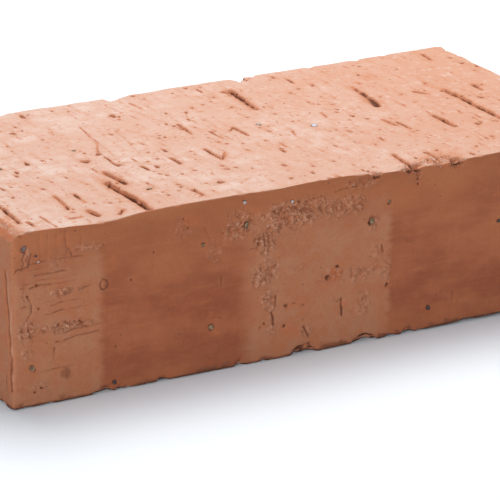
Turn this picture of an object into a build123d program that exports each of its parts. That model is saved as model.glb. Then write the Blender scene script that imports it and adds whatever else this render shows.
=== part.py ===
from build123d import *

from math import cos, radians, sin
import os

# A solid wire-cut clay building brick, lying on its bed. Millimetres.
# The origin is the centre of the lower bed face, +X runs along the length, +Y across the
# width towards the back stretcher face, and +Z up through the height.
# The clay came out of a die as a column 250 x 120, which skins the four upright faces, and
# wires cut it into 65 mm slices, which leaves dragged, pitted bed faces above and below.

# Driving dimensions
LENGTH = 250.0
WIDTH = 120.0
HEIGHT = 65.0
CORNER_RADIUS = 2.5  # upright corners, rounded by the die
ARRIS_RADIUS = 1.0  # edges of the two bed faces, rounded by handling before firing
GROOVE_TAPER = 25.0  # degrees that a drag groove's walls lean outwards
GRAIN_DEPTH = 0.9  # how deep a grain sits, as a share of its radius
GRAIN_TAPER = 12.0  # degrees that a grain widens inwards, so that the clay holds it

# Working planes of the two faces that carry features
TOP_BED = Plane.XY.offset(HEIGHT)
FRONT = Plane.XZ.offset(WIDTH / 2)

# Drag grooves in the upper bed: start x, y, end x, y, width and depth. Coarse grains caught
# by the cutting wire ploughed them, so they run across the width.
DRAG_GROOVES = [
    (-71.5, -29.0, -71.5, -56.0, 3.6, 2.4),
    (-66.5, -18.5, -66.5, -30.0, 3.0, 1.6),
    (-116.0, -32.0, -117.5, -49.0, 2.0, 1.4),
    (18.8, 44.0, 17.8, 24.0, 3.2, 1.6),
    (-17.0, 19.0, -17.2, 9.0, 1.8, 1.2),
    (-10.4, 6.5, -10.4, -2.0, 1.4, 1.0),
    (-0.2, 6.5, 0.2, -2.0, 1.6, 1.2),
    (-22.0, -12.0, -21.6, -21.0, 1.6, 1.2),
    (64.5, 29.0, 60.5, 9.0, 1.8, 1.1),
    (53.5, -10.0, 53.8, -16.5, 1.8, 1.2),
    (56.8, -16.0, 57.0, -22.0, 1.6, 1.1),
    (72.8, -15.5, 73.0, -27.0, 2.4, 1.6),
    (94.6, 10.5, 94.2, -34.0, 3.0, 1.5),
    (107.5, 10.5, 107.2, 6.0, 2.0, 1.6),
    (111.8, 52.5, 111.0, 47.5, 2.0, 1.2),
    (35.2, -47.0, 35.2, -56.0, 1.6, 1.4),
    (-47.5, -49.5, -47.2, -55.0, 2.0, 1.4),
    (46.6, 49.0, 46.2, 44.5, 1.6, 1.0),
    (-66.5, 0.5, -65.5, -5.0, 2.4, 1.2),
    (-90.0, -49.0, -89.5, -53.5, 2.2, 1.3),
]

# Pits in the upper bed, where a grain was plucked out: x, y, mouth radius and depth
PITS = [
    (-63.5, 54.0, 1.2, 1.4),
    (-76.0, 37.0, 1.2, 1.3),
    (-33.5, 39.5, 1.3, 1.5),
    (-87.0, 4.0, 1.0, 1.1),
    (-58.8, 2.5, 1.3, 1.6),
    (-94.5, -4.5, 1.0, 1.1),
    (-58.5, -11.5, 1.0, 1.2),
    (-46.8, -19.0, 1.2, 1.3),
    (-26.5, -33.0, 1.0, 1.2),
    (-35.5, -44.0, 1.2, 1.3),
    (-115.0, -53.5, 1.0, 1.2),
    (-81.0, -56.0, 1.0, 1.1),
    (-7.0, 31.0, 1.0, 1.0),
    (83.2, -30.0, 1.2, 1.3),
    (83.0, 12.5, 1.3, 1.3),
    (102.0, -3.0, 1.2, 1.2),
    (52.8, 38.5, 1.1, 1.2),
    (-1.2, -50.5, 0.9, 1.1),
    (-11.0, -52.0, 1.0, 1.1),
    (63.0, -56.0, 1.0, 1.2),
]

# Chips out of an arris that runs along X: x, side (-1 front, 1 back), level (0 bottom,
# 1 top), half of the chip's length and its depth
LONG_ARRIS_CHIPS = [
    (-86.0, -1, 0, 5.0, 1.0),
    (-33.0, -1, 0, 4.0, 1.4),
    (-8.0, -1, 0, 4.0, 1.5),
    (17.0, -1, 0, 6.0, 2.0),
    (28.0, -1, 0, 3.0, 1.2),
    (37.0, -1, 0, 4.5, 1.2),
    (61.0, -1, 0, 6.0, 0.8),
    (19.0, -1, 1, 4.0, 1.8),
    (37.5, -1, 1, 4.5, 2.4),
    (53.0, -1, 1, 7.0, 1.8),
    (-24.0, 1, 1, 4.0, 1.8),
    (31.0, 1, 1, 3.5, 3.2),
    (-69.0, 1, 1, 3.0, 1.0),
    (-50.0, 1, 0, 6.0, 1.6),
    (72.0, 1, 0, 5.0, 1.4),
]

# Chips out of an arris that runs along Y: y, side (-1 left end, 1 right end), level, half
# of the chip's length and its depth
END_ARRIS_CHIPS = [
    (49.0, 1, 1, 5.0, 1.8),
    (24.0, 1, 1, 6.0, 1.6),
    (-30.0, 1, 0, 5.0, 1.4),
    (-46.0, -1, 1, 6.0, 1.2),
    (20.0, -1, 0, 5.0, 1.3),
]

# Mineral grains fired into the clay, cut or worn flush with its faces: plane, x and y on
# that plane, radius, number of corners and turn in degrees
IRON_GRAINS = [
    (FRONT, -85.0, 3.4, 0.75, 7, 10.0),
    (FRONT, -117.0, 14.5, 0.9, 6, 35.0),
    (FRONT, -120.5, 58.6, 0.9, 7, 60.0),
    (FRONT, -46.5, 17.0, 0.9, 6, 0.0),
    (FRONT, 44.5, 8.5, 0.8, 5, 20.0),
    (FRONT, 74.0, 37.5, 0.7, 6, 45.0),
    (FRONT, -116.0, 55.3, 0.45, 6, 15.0),
    (FRONT, -50.5, 48.5, 0.6, 5, 50.0),
]
PALE_GRAINS = [
    (TOP_BED, 28.0, -4.0, 1.0, 6, 25.0),
    (TOP_BED, 10.2, 6.5, 0.9, 7, 0.0),
    (TOP_BED, -61.0, -39.5, 0.9, 6, 40.0),
    (TOP_BED, -65.0, 9.5, 0.7, 5, 15.0),
    (TOP_BED, -98.0, 3.2, 0.8, 6, 55.0),
    (FRONT, -33.0, 53.0, 0.9, 6, 30.0),
    (FRONT, 26.2, 52.5, 0.6, 7, 5.0),
    (FRONT, 19.0, 46.0, 1.1, 6, 50.0),
    (FRONT, -34.0, 61.6, 0.6, 5, 0.0),
    (FRONT, -14.5, 58.8, 0.6, 6, 20.0),
    (FRONT, -115.0, 53.0, 0.5, 6, 40.0),
]


def grain_corners(radius: float, count: int, turn: float) -> list[tuple[float, float]]:
    """Corners of a crushed grain: a polygon whose corners stand at uneven distances."""
    corners = []
    for index in range(count):
        angle = radians(turn + 360.0 * index / count)
        reach = radius * (1.0 + 0.14 * sin(2.4 * index + turn))
        corners.append((reach * cos(angle), reach * sin(angle)))
    return corners


def make_grain(plane: Plane, x: float, y: float, radius: float, count: int, turn: float) -> Part:
    """One grain: flush with its face and wider inside the clay."""
    with BuildPart() as grain:
        with BuildSketch(plane):
            with Locations((x, y)):
                Polygon(*grain_corners(radius, count, turn), align=None)
        extrude(amount=-GRAIN_DEPTH * radius, taper=-GRAIN_TAPER)
    return grain.part


def chip_ball(half_length: float, depth: float) -> float:
    """Radius of the ball that scoops a chip of this half length and depth."""
    return (half_length**2 + depth**2) / (2.0 * depth)


def chip_centre(side: int, level: int, half_span: float, ball: float, depth: float) -> tuple:
    """Where that ball's centre stands outside an arris, across it and up."""
    stand_off = (ball - depth) / 2**0.5
    across = side * (half_span + stand_off)
    up = HEIGHT + stand_off if level else -stand_off
    return across, up


# The grains, made first so that the clay can be seated round them
grains = {}
for number, seat in enumerate(IRON_GRAINS, start=1):
    grains[f"iron_grain_{number}"] = make_grain(*seat)
for number, seat in enumerate(PALE_GRAINS, start=1):
    grains[f"pale_grain_{number}"] = make_grain(*seat)

# The fired clay body
with BuildPart() as brick_body:
    with BuildSketch():
        RectangleRounded(LENGTH, WIDTH, CORNER_RADIUS)
    extrude(amount=HEIGHT)
    bed_faces = brick_body.faces().filter_by(Axis.Z)
    fillet(bed_faces.edges(), radius=ARRIS_RADIUS)

    for x0, y0, x1, y1, groove_width, groove_depth in DRAG_GROOVES:
        middle = ((x0 + x1) / 2, (y0 + y1) / 2)
        with BuildSketch(TOP_BED):
            SlotCenterPoint(middle, (x1, y1), groove_width)
        extrude(amount=-groove_depth, taper=GROOVE_TAPER, mode=Mode.SUBTRACT)

    for x, y, mouth, pit_depth in PITS:
        with Locations((x, y, HEIGHT)):
            Cone(
                mouth * 0.4,
                mouth,
                pit_depth,
                align=(Align.CENTER, Align.CENTER, Align.MAX),
                mode=Mode.SUBTRACT,
            )

    for x, side, level, half_length, chip_depth in LONG_ARRIS_CHIPS:
        ball = chip_ball(half_length, chip_depth)
        across, up = chip_centre(side, level, WIDTH / 2, ball, chip_depth)
        with Locations((x, across, up)):
            Sphere(ball, mode=Mode.SUBTRACT)

    for y, side, level, half_length, chip_depth in END_ARRIS_CHIPS:
        ball = chip_ball(half_length, chip_depth)
        across, up = chip_centre(side, level, LENGTH / 2, ball, chip_depth)
        with Locations((across, y, up)):
            Sphere(ball, mode=Mode.SUBTRACT)

    for grain_part in grains.values():
        add(grain_part, mode=Mode.SUBTRACT)

brick_body.part.label = "brick_body"
export_step(brick_body.part, "parts/brick_body.step")

for grain_name, grain_part in grains.items():
    grain_part.label = grain_name
    export_step(grain_part, f"parts/{grain_name}.step")
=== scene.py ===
from itertools import product
import math

import bpy
import numpy as np
from mathutils import Matrix, Vector


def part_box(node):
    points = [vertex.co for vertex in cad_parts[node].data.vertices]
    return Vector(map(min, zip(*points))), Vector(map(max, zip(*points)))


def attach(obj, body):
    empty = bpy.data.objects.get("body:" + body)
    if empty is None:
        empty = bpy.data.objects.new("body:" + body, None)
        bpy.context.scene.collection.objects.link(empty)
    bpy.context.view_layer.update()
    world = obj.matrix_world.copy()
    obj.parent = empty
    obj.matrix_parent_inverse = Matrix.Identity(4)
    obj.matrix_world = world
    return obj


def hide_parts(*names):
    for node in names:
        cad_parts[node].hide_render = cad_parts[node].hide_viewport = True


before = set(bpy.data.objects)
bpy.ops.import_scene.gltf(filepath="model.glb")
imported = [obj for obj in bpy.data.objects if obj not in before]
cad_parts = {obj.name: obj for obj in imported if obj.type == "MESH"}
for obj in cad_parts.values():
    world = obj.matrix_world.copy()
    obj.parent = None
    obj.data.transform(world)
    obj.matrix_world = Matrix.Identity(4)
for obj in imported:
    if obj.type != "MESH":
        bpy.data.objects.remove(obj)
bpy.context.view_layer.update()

# A solid wire-cut clay brick. The mesh work is done in millimetres, from the centre of the
# lower bed face, with +X along the length, +Y to the back and +Z up, and is scaled to metres
# when a mesh is made.
BRICK_LOW, BRICK_HIGH = (np.array(corner) * 1000.0 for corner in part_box("brick_body"))
LENGTH, WIDTH, HEIGHT = BRICK_HIGH - BRICK_LOW
HALF = np.array([LENGTH, WIDTH, HEIGHT]) / 2.0
MILLIMETRE = 0.001

LATTICE_PITCH = 0.34  # spacing of the dense mesh that is carved
MAP_PITCH = 0.25  # spacing of the relief maps
TRIANGLE_BUDGET = 195000
SEED = 53  # each use adds its own number, so that no two draw the same

# ==== Camera: a long lens looking along the brick from above its left front corner ====
CAMERA_PLACE = (-661.5, -1121.9, 491.7)
CAMERA_TARGET = (0.72, -5.43, 20.65)
CAMERA_ROLL = 1.234  # degrees
LENS, SENSOR = 269.3, 36.0  # focal length and sensor width

# ==== What marks the upper bed. All in millimetres: x, y on the bed ====
# Grooves ploughed by grains under the wire: head x, y, tail x, y, width, depth, tail share
GROOVES = [
    (-71.4, -27.5, -71.2, -58, 3.4, 2.5, 0.75), (-70.2, -26.3, -73.8, -33.6, 1.6, 1.4, 0.4),
    (-66.4, -16.8, -66, -31, 3, 1.9, 0.6), (-68.7, -11, -68.8, -17, 1, 0.7, 0.4),
    (-116.2, -30.5, -117.4, -50.5, 1.7, 1.4, 0.8), (-121.6, -39, -122.2, -51, 1.2, 0.9, 0.5),
    (-107.8, -47.5, -107.6, -58.5, 1, 0.8, 0.7), (-114.8, -51, -114.3, -55.5, 1.4, 1.2, 0.6),
    (-58.7, -1.2, -58.9, -13.2, 0.9, 0.8, 0.9), (-50.5, 32.5, -53.4, 13, 0.7, 0.45, 1),
    (-53.4, 13.5, -58.4, 3.8, 0.9, 0.6, 1), (-53.3, 13.7, -54.3, -1.5, 0.6, 0.35, 0.6),
    (-41, 20.5, -45.6, -5.5, 0.7, 0.4, 0.5), (-62, 32.2, -63.3, 28.8, 0.8, 0.6, 0.5),
    (-87.4, -32.5, -87.7, -41.5, 1.6, 0.6, 0.5), (-94.4, -31.5, -95.9, -45, 1.8, 0.9, 0.8),
    (-89.9, -49, -89.3, -54, 2.6, 1.3, 0.7), (-99, -53.2, -94.8, -53, 1.5, 0.9, 0.7),
    (-82, -56.6, -79.6, -54, 1.5, 1.2, 0.7), (-48.3, -47.8, -47.6, -54.5, 2, 1.5, 0.5),
    (-58.8, -33.5, -58.6, -38.5, 0.9, 0.7, 0.6), (-51.7, -16.5, -51.5, -22, 1.7, 0.7, 0.6),
    (-50.3, -8, -50.2, -13.5, 0.9, 0.7, 0.5), (-37.6, -13, -37.4, -20, 1.6, 0.9, 0.8),
    (-21.8, -9.5, -21.7, -22.3, 1.2, 1, 1.6), (-21.9, -22, -17.2, -16.5, 1.5, 1.1, 0.6),
    (-16.3, 20, -17.3, 7.5, 1.5, 1.3, 0.5), (-18.3, 16.5, -16.6, 13, 1, 1, 0.8),
    (-20.2, 50, -20.1, 41.5, 1, 0.7, 0.4), (-9.9, 7.5, -10, -2, 1.1, 1, 0.6),
    (-0.4, 7.5, 0.3, -3, 1.4, 1.3, 0.6), (-3.4, 4.3, -0.4, 6.6, 1, 0.9, 0.9),
    (-6.3, 32, -10.4, 22, 0.8, 0.6, 0.3), (6.3, -15.5, 6.1, -24.5, 0.8, 0.5, 0.5),
    (2.6, -22, 2.4, -26, 1.3, 0.7, 0.7), (20.6, 46, 18.2, 22.5, 3.6, 1.7, 0.45),
    (17.4, 46, 19.4, 41, 1.5, 1.2, 0.8), (10.9, 53.5, 10.5, 48.5, 1.3, 0.8, 0.6),
    (18.2, 7.4, 15.6, 0, 0.5, 0.3, 0.7), (17.4, -5.8, 15.8, -12, 1.1, 0.7, 0.5),
    (38, 8, 37, 2, 1.3, 0.6, 0.7), (36.2, -45.5, 36, -57.5, 1.6, 1.3, 1.2),
    (47.9, 49, 47.5, 43, 1.3, 0.8, 0.5), (65.2, 29.5, 61.2, 5.5, 2.4, 0.7, 2.1),
    (54.3, -9.5, 54.9, -17.5, 1.5, 1.2, 0.9), (57.3, -14.5, 57.6, -22.5, 1.5, 1.1, 0.6),
    (73.6, -14.3, 73.8, -28.3, 2.3, 1.9, 0.85), (73.9, -9, 73.6, -14, 0.8, 0.5, 0.9),
    (95.4, 11.2, 94.6, -36, 2.8, 1.5, 0.7), (92.9, 9.8, 95.6, 11.3, 1.4, 1.3, 0.9),
    (108.1, 11.3, 107.8, 4.4, 1.8, 1.7, 0.8), (112.2, 53, 111.3, 46, 1.8, 1.1, 0.6),
    (83.2, 13.6, 86.7, 9, 1.8, 1.3, 0.5), (78.5, -12.8, 78, -16, 0.8, 0.7, 0.5),
    (85.6, -13.5, 84.8, -16.3, 1.2, 0.9, 0.6), (88.6, -20, 88, -24, 1.2, 0.6, 0.6),
    (60.1, -43, 60, -47.5, 0.8, 0.6, 0.5), (48.5, -49, 48.3, -58.5, 1.5, 1.2, 0.9),
    (41.5, -27.5, 41, -31.5, 1.4, 0.5, 0.6), (77.2, -36, 76.9, -47, 0.8, 0.35, 0.6),
]

# Pits left by plucked grains: x, y, half-width, half-length, depth
PITS = [
    (-63.4, 53.4, 0.9, 1.9, 1.6), (-75.6, 37.2, 1, 1.7, 1.5), (-71.3, 43.6, 0.6, 0.8, 0.7),
    (-58.8, 2, 1.1, 1.7, 1.7), (-57.8, -11.6, 1.5, 0.9, 1.2), (-63, 5.2, 0.6, 0.9, 0.9),
    (-66.9, -3, 1.5, 2.3, 1.1), (-94.2, -2.6, 0.8, 1.3, 1.2), (-95.9, -6.2, 0.8, 0.9, 1),
    (-86.8, 3.4, 0.9, 1.7, 1.3), (-94.2, -22.9, 0.7, 0.9, 1.1), (-107.7, -26, 0.6, 1.1, 0.9),
    (-106.8, -16, 0.6, 1.8, 0.8), (-81.3, -16, 0.5, 0.9, 0.8), (-88, -17.6, 0.5, 0.7, 0.7),
    (-90.3, -11.3, 0.5, 0.7, 0.7), (-80, -46, 0.6, 0.7, 0.7), (-46.7, -19.2, 1.1, 1.4, 1.5),
    (-42.2, -11.4, 0.7, 1, 1.2), (-58.3, -48.5, 0.7, 0.8, 0.9), (-33.3, 39.3, 1.1, 2.7, 1.6),
    (-6.6, 31.1, 0.8, 1, 1.1), (3.3, 35.8, 0.6, 0.8, 0.8), (-20, 22.2, 0.7, 1.1, 0.9),
    (-35.4, -4.2, 0.8, 1.7, 0.8), (-25.8, -32.9, 0.9, 1.1, 1.3), (-35.1, -44.4, 1.2, 1.7, 1.4),
    (-28, 8.8, 0.5, 1.1, 0.5), (-30.4, 8.7, 0.5, 0.8, 0.5), (3.3, -44.2, 0.7, 0.8, 1),
    (12.8, -42.3, 0.7, 0.9, 0.8), (22.8, -27.5, 0.5, 1.2, 0.8), (-10.8, -52.2, 0.9, 0.9, 1.1),
    (-0.8, -50.4, 0.7, 1.2, 1.1), (17.5, -54.8, 0.5, 1.1, 0.7), (44.6, 53.6, 0.9, 1.2, 0.8),
    (40.3, 33.7, 0.7, 0.9, 1), (52.9, 38.6, 0.9, 1.2, 1.2), (92.9, 41.2, 0.6, 0.6, 0.8),
    (102.4, -3, 1.1, 1.3, 1.3), (83.4, -29.8, 1.1, 1.8, 1.4), (67.3, -12, 0.5, 0.6, 0.7),
    (63, -56.6, 0.8, 1.2, 1.1), (93.3, 21.8, 0.7, 1.1, 0.6), (120, 36.8, 1.2, 0.9, 0.6),
    (123.2, 31, 1, 1.2, 0.7), (99.8, 0.7, 0.5, 0.7, 0.6), (90.4, 1.8, 0.5, 0.9, 0.6),
    (46.8, -0.6, 0.7, 1.7, 0.5), (-5.6, -38.5, 0.7, 1.9, 0.6), (-13.9, 1.6, 0.5, 0.9, 0.4),
]

# Hollows broken out beside the front arris: x, y, half-width, half-length, depth
FRONT_ARRIS_PITS = [
    (37.6, -58, 2.6, 1.9, 2.6), (51.5, -55, 1, 1.3, 1.6), (54.6, -57.6, 1.7, 1.5, 2.1),
    (20.6, -58.9, 1.9, 0.9, 1.5), (46.5, -57, 0.9, 1.4, 1.2),
]

# ==== What marks the front stretcher face: x and z on the face ====
# Torn, scaly skin: centre x, z, half-length, half-height, strength
FRONT_TORN = [
    (-104.5, 28, 12.5, 2.3, 1), (-119, 28.5, 4.5, 4.5, 0.8), (-105.5, 41, 8, 1.7, 0.8),
    (-120.5, 42, 1.8, 6, 0.5), (-96, 56.2, 9, 1.5, 0.5), (-108.5, 52, 4, 2.5, 0.4),
    (-119, 20, 3, 3.5, 0.5), (-114, 7.5, 4, 1.5, 0.5), (-120, 56, 3, 4, 0.5), (-36, 52.5, 8.5, 6.5, 0.8),
    (-14, 53.5, 17, 6.5, 0.95), (8, 53.5, 13, 5, 0.7), (-25.5, 45, 6, 4.5, 0.85),
    (-25.5, 33, 6.5, 5.5, 0.85), (-23.5, 23.5, 3.5, 6, 0.7), (-45, 45, 4, 5, 0.4), (-58, 56, 5, 4, 0.4),
    (26, 27, 3, 7, 0.45), (-11, 33, 4, 2.5, 0.4), (3, 28, 6, 3, 0.55), (15.5, 27, 8, 3, 0.6),
    (21.5, 34, 3.5, 5, 0.45), (16, 15, 4, 6, 0.45), (-7.5, 8.5, 2.5, 3, 0.6), (20, 46, 3, 3, 0.8),
    (14, 61, 8, 2.3, 0.6), (-21.5, 13, 2.5, 5, 0.5),
]
# Scratches and cracks: start x, z, end x, z, width, depth
FRONT_LINES = [
    (-114.5, 63, -114.3, 50, 0.6, 0.22), (-111.5, 62.5, -111.3, 48.5, 0.5, 0.25),
    (-108, 62, -107.8, 50.5, 0.5, 0.28), (-104.3, 63.5, -104.2, 52.5, 0.7, 0.35),
    (-98.5, 63, -98.3, 54, 0.6, 0.22), (-103.8, 57.2, -101.8, 53.4, 0.8, 0.45),
    (-118, 52.2, -97, 53.4, 0.9, 0.35), (-120, 45.4, -99, 46.8, 0.9, 0.3),
    (-118, 43.7, -100, 44.8, 0.9, 0.4), (-112, 33.4, -96, 34, 0.8, 0.3),
    (-116, 47.6, -103, 48.4, 0.9, 0.35), (-110, 36.4, -97, 37.2, 0.9, 0.35),
    (-104, 25.4, -86, 26.8, 1.2, 0.3), (-116, 12.4, -99, 12.9, 0.8, 0.25),
    (-108, 22.4, -91.5, 23.8, 1, 0.4), (-121, 37.2, -106, 38.2, 0.7, 0.25),
    (-99, 40.6, -94.5, 42, 0.7, 0.6), (-119, 49.8, -112, 50.6, 0.6, 0.3),
    (-121.5, 51, -118, 51.6, 0.6, 0.6), (-118.2, 51.6, -117.4, 56.5, 0.6, 0.6),
    (-109, 20.5, -108.6, 16, 0.8, 0.4), (-118, 26, -119.2, 33, 0.7, 0.4), (-7, 57.8, 3, 58.8, 0.4, 0.5),
    (3, 58.8, 15, 60.4, 0.4, 0.5), (7, 18.4, 7.2, 12.2, 1, 0.8), (5, 17.6, 7, 18.2, 0.6, 0.5),
    (-20.3, 24.2, -20.1, 20.5, 0.8, 0.7), (-21.9, 18.2, -21.2, 13.2, 0.8, 0.8),
    (-8.8, 10.8, -6.2, 6.2, 0.7, 0.8), (11.6, 29.6, 11.2, 25.6, 0.8, 0.5),
    (23.6, 36.8, 24.4, 33.6, 0.7, 0.6), (-43, 35, -42.6, 30.5, 0.8, 0.35),
    (-44.6, 34.6, -44.3, 31.5, 0.6, 0.3), (-50, 54, -47.5, 50, 0.6, 0.35),
    (-31.5, 43.5, -28.5, 44, 0.8, 0.4), (-45.5, 20, -42, 19.4, 0.7, 0.4),
    (-27.5, 49, -27.8, 44.5, 0.6, 0.5), (-25.8, 49, -25.6, 43.8, 0.6, 0.5),
    (-23.9, 48.5, -23.6, 44, 0.6, 0.5), (-22.2, 48, -22, 44.5, 0.5, 0.4),
    (34.5, 36.5, 38.5, 35, 0.8, 0.2), (54.8, 13, 55, 8.5, 0.8, 0.25),
]
# Curved cracks: their points, width and depth
FRONT_CRACKS = [
    ([(-90, 43), (-89, 42.8), (-88, 41.6), (-88.1, 40.2), (-89.2, 39.3), (-90.4, 39.8),
      (-90.8, 41.2), (-90.2, 42.6)], 0.6, 0.7),
    ([(-124.2, 50.3), (-122.6, 51.6), (-120.8, 51), (-120.2, 53.2), (-120.6, 55.4),
      (-119.4, 57)], 0.7, 0.6),
    ([(-119.6, 41.5), (-117.6, 38.4), (-117.9, 35), (-119.4, 32.6)], 0.6, 0.35),
]
# Small pits: x, z, half-width, half-height, depth
FRONT_PITS = [
    (-115.5, 44.6, 0.6, 0.7, 0.6), (-119, 41, 0.4, 0.5, 0.5), (-16, 19.8, 1.2, 0.7, 0.35),
    (-12.6, 20.2, 1.1, 0.4, 0.25), (-8.9, 19, 1.2, 0.4, 0.25), (-24.9, 14.5, 0.5, 0.6, 0.6),
    (1, 27.6, 0.9, 1.1, 0.7), (5.2, 31, 0.8, 0.6, 0.6), (26.4, 20.6, 0.7, 1, 0.5),
    (38.2, 58.2, 0.4, 0.8, 0.6), (-70, 49, 0.4, 0.4, 0.5), (-56.5, 55.4, 0.6, 0.4, 0.5),
    (-58.5, 59, 0.4, 0.5, 0.5), (-84.6, 16.8, 0.5, 0.4, 0.5), (-113.6, 6.6, 0.6, 0.5, 0.5),
    (-116.2, 5.4, 0.5, 0.4, 0.5), (-16.5, 12.2, 0.7, 0.6, 0.5),
]
# Orange-red stains on the front: x, z, half-length, half-height, strength
FRONT_WARM = [
    (3.5, 28, 4.5, 3, 1), (-13.5, 9, 5.5, 4, 0.6), (-17, 5, 3, 2.5, 0.5), (-15, 19.6, 4, 1.5, 0.7),
    (7, 15, 1.5, 3, 0.7), (-56, 58, 5, 4, 0.55), (-30, 58, 6, 3, 0.4), (-45.5, 19.5, 3, 1.6, 0.7),
    (-86, 50, 3, 6, 0.35), (-107, 60, 12, 3, 0.3), (34, 56, 8, 5, 0.35), (-50, 27, 4, 2, 0.35),
    (56, 55, 5, 4, 0.3), (22, 44, 3, 2.5, 0.5), (-91, 38, 2.5, 5, 0.4),
]

# Torn skin and ember stains of the upper bed: map, x, y, half-width, half-length, strength
BED_PATCHES = [
    ("warm", -121.5, -50, 4.5, 12, 0.9), ("warm", 49, -55, 11, 5, 0.8), ("warm", 78.5, 38.5, 5, 4, 0.9),
    ("torn", 48.5, -56, 10, 4.5, 1), ("torn", 37, -56.5, 4, 4, 0.9), ("torn", 19, -58, 4, 2.5, 0.8),
    ("torn", 20.4, 42, 2.6, 5, 0.7), ("torn", -66.3, -21, 1.6, 5, 0.7),
]

# The crack and rolled lip that run down the left header, beside its front corner: y, z
CORNER_FOLD = [
    (-53.6, 49), (-54.3, 44.5), (-55, 40), (-56.2, 34), (-56, 29), (-56.9, 22),
    (-58, 18.5), (-57.4, 12), (-58, 7.5),
]

# Chips out of the arrises: place along the arris, half-length, depth. An arris is named by
# the signs of its two faces' normals, and places on an upright one are heights.
CHIPS = {
    ("y-", "z+"): [
        (-123, 7, 1.7), (-104, 2.5, 0.9), (13.5, 3.5, 1.1), (20, 3.2, 2.2),
        (37, 4.4, 2.9), (31.5, 3, 1), (49, 4, 1.7), (54.5, 5, 2.1), (88, 5, 1.3),
        (109, 6, 1.6), (-36, 3.5, 0.8),
    ],
    ("y-", "z-"): [
        (-89.5, 4.6, 2), (-81.5, 3.4, 1.7), (-66, 3, 1.4), (-34, 3, 1.6),
        (-8, 5.5, 2.5), (17.5, 6, 2.8), (28.5, 2.6, 1.9), (36, 3, 2.3),
        (60, 4.5, 1), (92, 6, 1.4), (-112, 4, 0.8),
    ],
    ("y+", "z+"): [
        (-23.5, 3.2, 3.3), (-19, 4, 1.2), (31.5, 3.2, 4.4), (37, 3, 1.2),
        (97.5, 3, 0.9), (-69, 3, 1.2), (-98, 6, 1.3),
    ],
    ("y+", "z-"): [(-50, 6, 1.8), (72, 5, 1.6), (12, 3, 1.2), (-105, 4, 1.5)],
    ("x+", "z+"): [(36, 3, 0.7), (-18, 5, 1.4), (-44, 4, 1.8)],
    ("x+", "z-"): [(-30, 5, 1.6), (36, 4, 1.3)],
    ("x-", "z+"): [(-52, 15, 2.9), (4, 4, 1.4), (38, 5, 1.8)],
    ("x-", "z-"): [(20, 5, 1.5), (-52, 3, 1.2), (-30, 4, 1)],
    ("x-", "y-"): [(60, 4, 1.2)],
    ("x+", "y-"): [(12, 5, 1.3), (47, 4, 1)],
    ("x-", "y+"): [(38, 6, 1.2)],
    ("x+", "y+"): [(62, 5, 1.6), (22, 4, 1)],
}
FRONT_SINK = 0.4  # how far the upper bed dips along the front, below the brick's highest point
RISE_REACH = 0.1  # how far back a rise or dip of the upper front edge is felt, as a share of the width
LIFT_REACH = 0.25  # the same for the lower front edge
SIDE_BEND = 0.25  # how far the long sides bow in and out
SOFT_STOP = 0.08  # how softly the surface is held inside the brick's box
# How much the front edge of the upper bed rises and sinks along its length: x, rise
FRONT_EDGE_RISE = [
    (-125, 0.0), (-114, 0.3), (-106, -0.2), (-92, -1.0), (-85, -0.8), (-76, 0.2), (-62, 0.7),
    (-38, 0.8), (-26, 0.5), (-18, 0.3), (-8, 0.9), (8, 0.9), (15, 0.3), (22, -0.6), (40, -0.7),
    (54, -0.8), (72, -0.1), (100, 0.3), (125, -0.4),
]
# How far the lower bed's front edge stands off the ground: x, height
FRONT_EDGE_LIFT = [(-125, 0.0), (20, 0.0), (45, 0.2), (58, 0.5), (75, 1.0), (125, 1.2)]


def smoothstep(low, high, value):
    """0 below low, 1 above high and a smooth rise between."""
    share = np.clip((value - low) / (high - low), 0.0, 1.0)
    return share * share * (3.0 - 2.0 * share)


def wobble(points, size, seed, terms=12):
    """Smooth noise of about -1 to 1 at 3-D points, with bumps of the given size."""
    random = np.random.default_rng(seed)
    directions = random.normal(size=(terms, 3))
    directions /= np.linalg.norm(directions, axis=1)[:, None]
    waves = random.uniform(0.6, 1.5, terms) * 2.0 * math.pi / (2.0 * size)
    phases = random.uniform(0.0, 2.0 * math.pi, terms)
    total = np.zeros(len(points))
    for direction, wave, phase in zip(directions, waves, phases):
        total += np.sin(points @ direction * wave + phase)
    return total * math.sqrt(2.0 / terms) / 1.6


def raise_to(values, where, least):
    """Raises some of the values to at least the given ones."""
    values[where] = np.maximum(values[where], least)


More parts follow.
